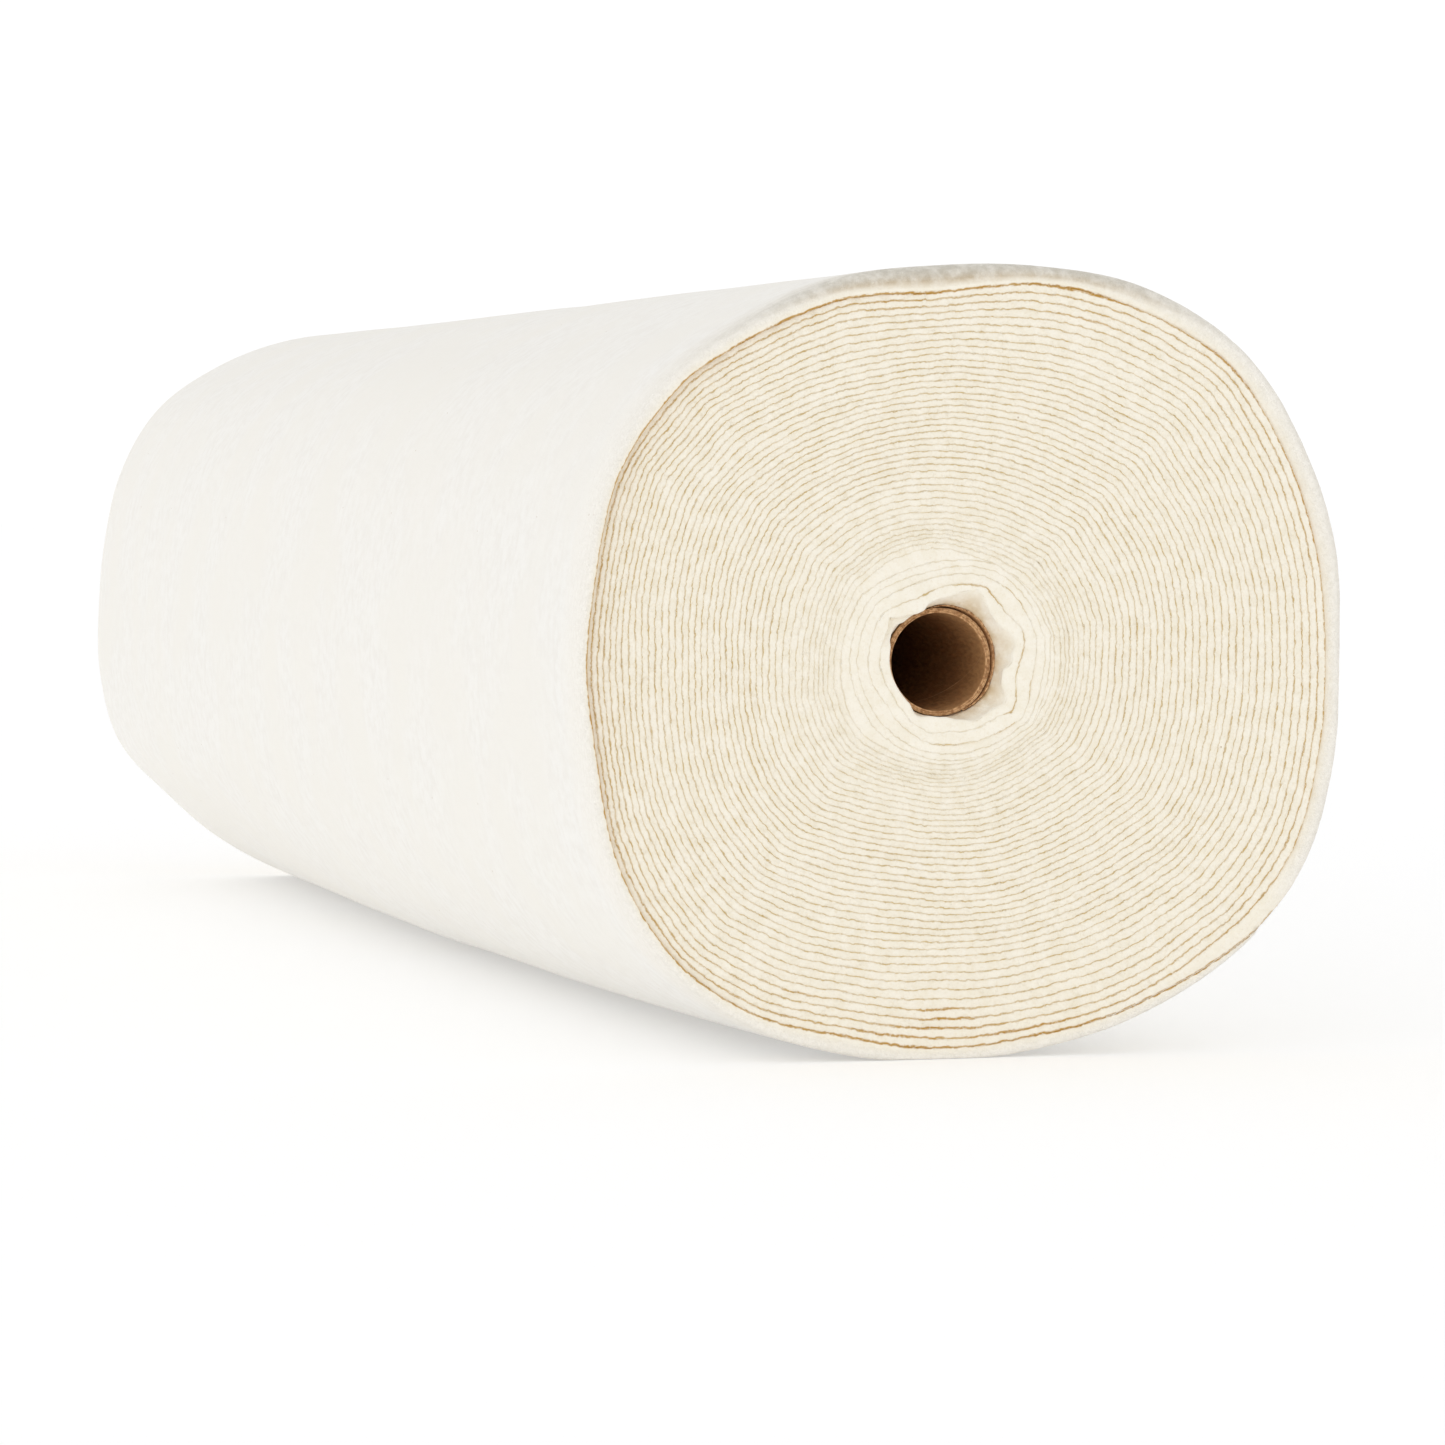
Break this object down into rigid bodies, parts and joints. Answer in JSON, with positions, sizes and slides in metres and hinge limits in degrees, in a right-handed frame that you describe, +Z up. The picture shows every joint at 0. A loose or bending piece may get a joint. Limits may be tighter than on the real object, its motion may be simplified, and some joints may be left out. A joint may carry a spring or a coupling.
{
  "type": "roll of quilt batting",
  "caption": "Thick roll of cream needle-punched cotton batting wound on a cardboard tube, lying on its side, slightly squashed, its wound layers showing at the ends.",
  "frame": {"origin": "on the floor under the middle of the roll's bounding box", "axes": "+Y along the roll from its near end to its far end, +Z up, +X to the right as seen from the near end"},
  "size_m": [0.312, 1.143, 0.3087],
  "materials": {
    "batting": "soft matt needle-punched cotton, off-white with a warm cream cut edge",
    "cardboard": "matt kraft cardboard"
  },
  "bodies": {
    "root": {"batting_roll": "batting", "core_tube": "cardboard"}
  },
  "joints": []
}
